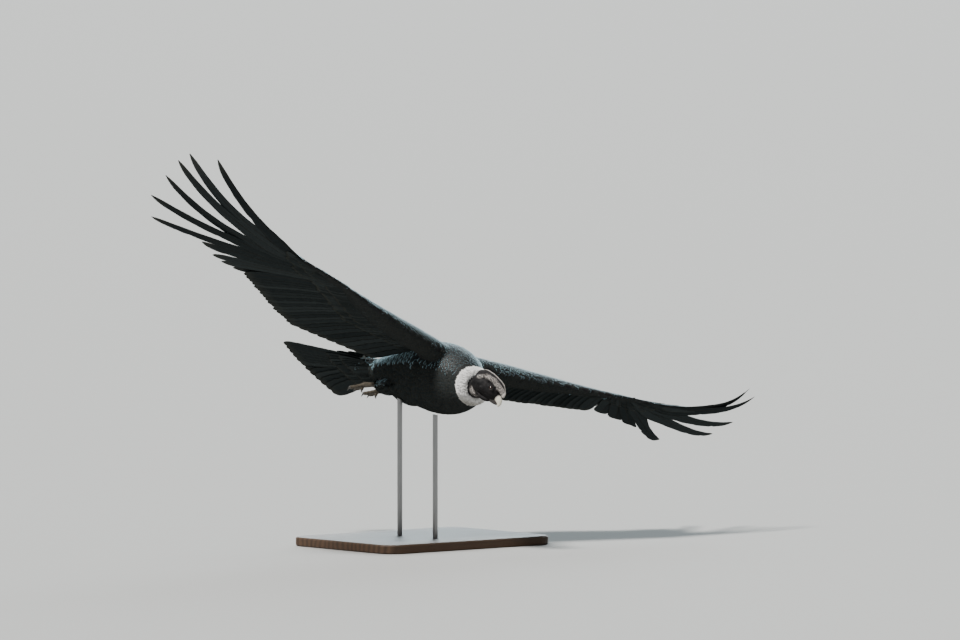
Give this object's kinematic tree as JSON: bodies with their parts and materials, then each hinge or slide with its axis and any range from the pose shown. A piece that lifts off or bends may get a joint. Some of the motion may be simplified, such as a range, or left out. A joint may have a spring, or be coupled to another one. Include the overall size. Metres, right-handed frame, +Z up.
{
  "type": "andean condor figure",
  "caption": "Life-size gliding male Andean condor, banked to its left with fingered wings spread and legs tucked back, on a plain display stand.",
  "frame": {"origin": "centre of the underside of the stand's base", "axes": "+Z up, -Y the way the bird heads, +X towards its left wing, which is the low one"},
  "size_m": [2.5839, 1.1216, 1.3979],
  "materials": {
    "plumage": "near-black vane, with a cool satin sheen where light grazes it",
    "down": "matt white down",
    "bare_skin": "wrinkled dark bare skin with pale creases",
    "comb": "dark pebbled skin with a pale rim",
    "bill": "ivory horn, dark towards its base",
    "eye": "brown, glossy and opaque",
    "scaly_skin": "dry scaly skin",
    "stand_board": "dark satin",
    "stand_metal": "dark satin"
  },
  "bodies": {
    "root": {"torso": "plumage", "tail": "plumage", "neck": "bare_skin", "ruff": "down", "head": "bare_skin", "comb": "comb", "upper_bill": "bill", "lower_bill": "bill", "eye_left": "eye", "eye_right": "eye", "wattle": "bare_skin", "right_upper_arm": "plumage", "right_forearm": "plumage", "right_hand": "plumage", "right_leg": "plumage", "right_foot": "scaly_skin", "left_upper_arm": "plumage", "left_forearm": "plumage", "left_hand": "plumage", "left_leg": "plumage", "left_foot": "scaly_skin", "stand_base": "stand_board", "stand_rod_front": "stand_metal", "stand_rod_back": "stand_metal"}
  },
  "joints": []
}
